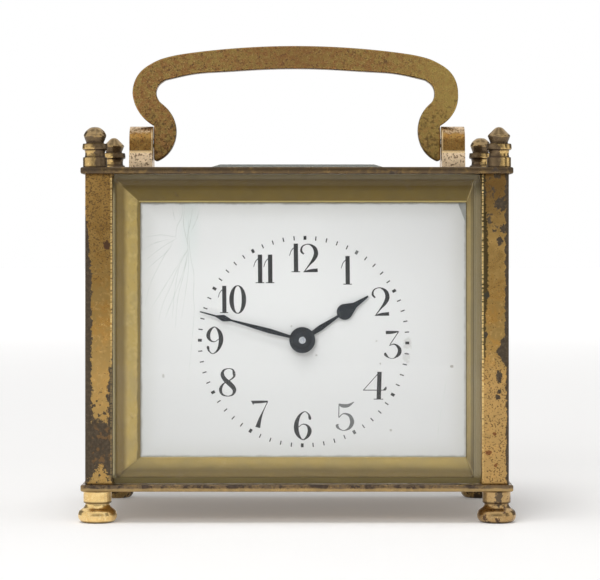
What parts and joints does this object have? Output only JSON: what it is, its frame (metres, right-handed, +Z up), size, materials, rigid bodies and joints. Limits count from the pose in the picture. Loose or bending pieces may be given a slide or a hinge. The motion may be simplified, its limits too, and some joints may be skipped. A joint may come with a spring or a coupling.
{
  "type": "carriage clock",
  "caption": "Small gilt brass carriage clock with carrying handle, bevelled glasses, white dial behind a sloping mask, glazed back door and a key-wound movement with platform escapement.",
  "frame": {"origin": "on the ground, at the middle of the clock's outline", "axes": "+X to the right seen from the front, +Y to the back, +Z up"},
  "size_m": [0.0954, 0.0634, 0.1059],
  "materials": {
    "gilt_brass": "worn gilding over brass, brown patina",
    "gilt_mask": "satin gilt",
    "clear_glass": "polished, bevelled",
    "white_enamel": "glossy, finely cracked",
    "blued_steel": "blued",
    "polished_steel": "polished",
    "spring_steel": "tempered",
    "copper_feet": "copper",
    "movement_brass": "grained",
    "silvered_platform": "frosted and silvered",
    "balance_brass": "polished"
  },
  "bodies": {
    "case": {"base_plate": "gilt_brass", "top_plate": "gilt_brass", "column_front_left": "gilt_brass", "column_front_right": "gilt_brass", "column_rear_left": "gilt_brass", "column_rear_right": "gilt_brass", "finial_front_left": "gilt_brass", "finial_front_right": "gilt_brass", "finial_rear_left": "gilt_brass", "finial_rear_right": "gilt_brass", "foot_front_left": "gilt_brass", "foot_front_right": "gilt_brass", "foot_rear_left": "gilt_brass", "foot_rear_right": "gilt_brass", "front_glass": "clear_glass", "left_glass": "clear_glass", "right_glass": "clear_glass", "top_glass": "clear_glass", "top_glass_frame": "gilt_brass", "handle_lug_left": "gilt_brass", "handle_lug_right": "gilt_brass", "handle_pins": "polished_steel", "dial_mask": "gilt_mask", "dial": "white_enamel", "dial_feet": "copper_feet", "front_movement_plate": "movement_brass", "back_movement_plate": "movement_brass", "plate_pillars": "movement_brass", "pillar_screws": "polished_steel", "base_screws": "polished_steel", "platform": "silvered_platform", "platform_cocks": "silvered_platform", "platform_screws": "polished_steel", "hairspring": "spring_steel", "click_spring": "polished_steel"},
    "handle_body": {"handle": "gilt_brass"},
    "door": {"door_frame": "gilt_brass", "door_glass": "clear_glass", "door_knob": "gilt_brass"},
    "minute_arbor": {"centre_arbor": "polished_steel", "cannon_pinion": "polished_steel", "minute_hand": "blued_steel"},
    "minute_idler": {"minute_wheel": "movement_brass"},
    "hour_body": {"hour_wheel": "movement_brass", "hour_hand": "blued_steel"},
    "contrate": {"contrate_wheel": "movement_brass", "contrate_arbor": "polished_steel"},
    "third": {"third_wheel": "movement_brass", "third_arbor": "polished_steel"},
    "centre": {"centre_wheel": "movement_brass", "centre_pinion": "polished_steel"},
    "going_barrel": {"barrel": "movement_brass", "barrel_cap": "movement_brass", "mainspring": "spring_steel"},
    "escape": {"escape_wheel": "polished_steel"},
    "lever_body": {"lever": "polished_steel"},
    "balance_body": {"balance": "balance_brass"},
    "winding_arbor": {"barrel_arbor": "polished_steel", "ratchet_wheel": "polished_steel"},
    "click_body": {"click": "polished_steel"}
  },
  "joints": [
    {"name": "handle_swing", "type": "hinge", "parent": "case", "child": "handle_body", "pos_m": [0, 0, 0.08375], "axis": [1, 0, 0], "range_deg": [-90, 90]},
    {"name": "door_swing", "type": "hinge", "parent": "case", "child": "door", "pos_m": [0.03763, 0.0269, 0.042], "axis": [0, 0, -1], "range_deg": [0, 105]},
    {"name": "minute_turn", "type": "hinge", "parent": "case", "child": "minute_arbor", "pos_m": [0.00115, 0, 0.03952], "axis": [0, 1, 0], "continuous": true},
    {"name": "minute_wheel_turn", "type": "hinge", "parent": "case", "child": "minute_idler", "pos_m": [0.00595, 0, 0.03121], "axis": [0, 1, 0], "continuous": true},
    {"name": "hour_turn", "type": "hinge", "parent": "case", "child": "hour_body", "pos_m": [0.00115, 0, 0.03952], "axis": [0, 1, 0], "continuous": true},
    {"name": "contrate_turn", "type": "hinge", "parent": "case", "child": "contrate", "pos_m": [0.0056, 0, 0.05175], "axis": [0, 1, 0], "continuous": true},
    {"name": "third_turn", "type": "hinge", "parent": "case", "child": "third", "pos_m": [0.01329, 0, 0.04406], "axis": [0, 1, 0], "continuous": true},
    {"name": "centre_turn", "type": "hinge", "parent": "case", "child": "centre", "pos_m": [0.00115, 0, 0.03952], "axis": [0, 1, 0], "continuous": true},
    {"name": "barrel_turn", "type": "hinge", "parent": "case", "child": "going_barrel", "pos_m": [-0.01359, 0, 0.0292], "axis": [0, 1, 0], "continuous": true},
    {"name": "escape_turn", "type": "hinge", "parent": "case", "child": "escape", "pos_m": [0.0056, -0.00118, 0.066], "axis": [0, 0, 1], "continuous": true},
    {"name": "balance_swing", "type": "hinge", "parent": "case", "child": "balance_body", "pos_m": [-0.0044, -0.00118, 0.069], "axis": [0, 0, 1], "range_deg": [-140, 140], "stiffness_Nm_per_rad": 0.000004},
    {"name": "lever_rock", "type": "hinge", "parent": "case", "child": "lever_body", "pos_m": [0.0016, -0.00118, 0.066], "axis": [0, 0, 1], "range_deg": [-4.2, 4.2]},
    {"name": "winding_turn", "type": "hinge", "parent": "case", "child": "winding_arbor", "pos_m": [-0.01359, 0, 0.0292], "axis": [0, 1, 0], "continuous": true},
    {"name": "click_lift", "type": "hinge", "parent": "case", "child": "click_body", "pos_m": [-0.00679, 0, 0.0368], "axis": [0, 1, 0], "range_deg": [-12, 0], "stiffness_Nm_per_rad": 0.0002, "deforming": ["click_spring"]}
  ],
  "couplings": [
    {"joint": "minute_wheel_turn", "follows": "minute_turn", "ratio": -0.33333},
    {"joint": "hour_turn", "follows": "minute_turn", "ratio": 0.083333},
    {"joint": "third_turn", "follows": "contrate_turn", "ratio": -0.13333},
    {"joint": "centre_turn", "follows": "contrate_turn", "ratio": 0.016667},
    {"joint": "barrel_turn", "follows": "contrate_turn", "ratio": -0.0020833},
    {"joint": "escape_turn", "follows": "contrate_turn", "ratio": -10},
    {"joint": "lever_rock", "follows": "balance_swing", "ratio": -0.028571}
  ]
}
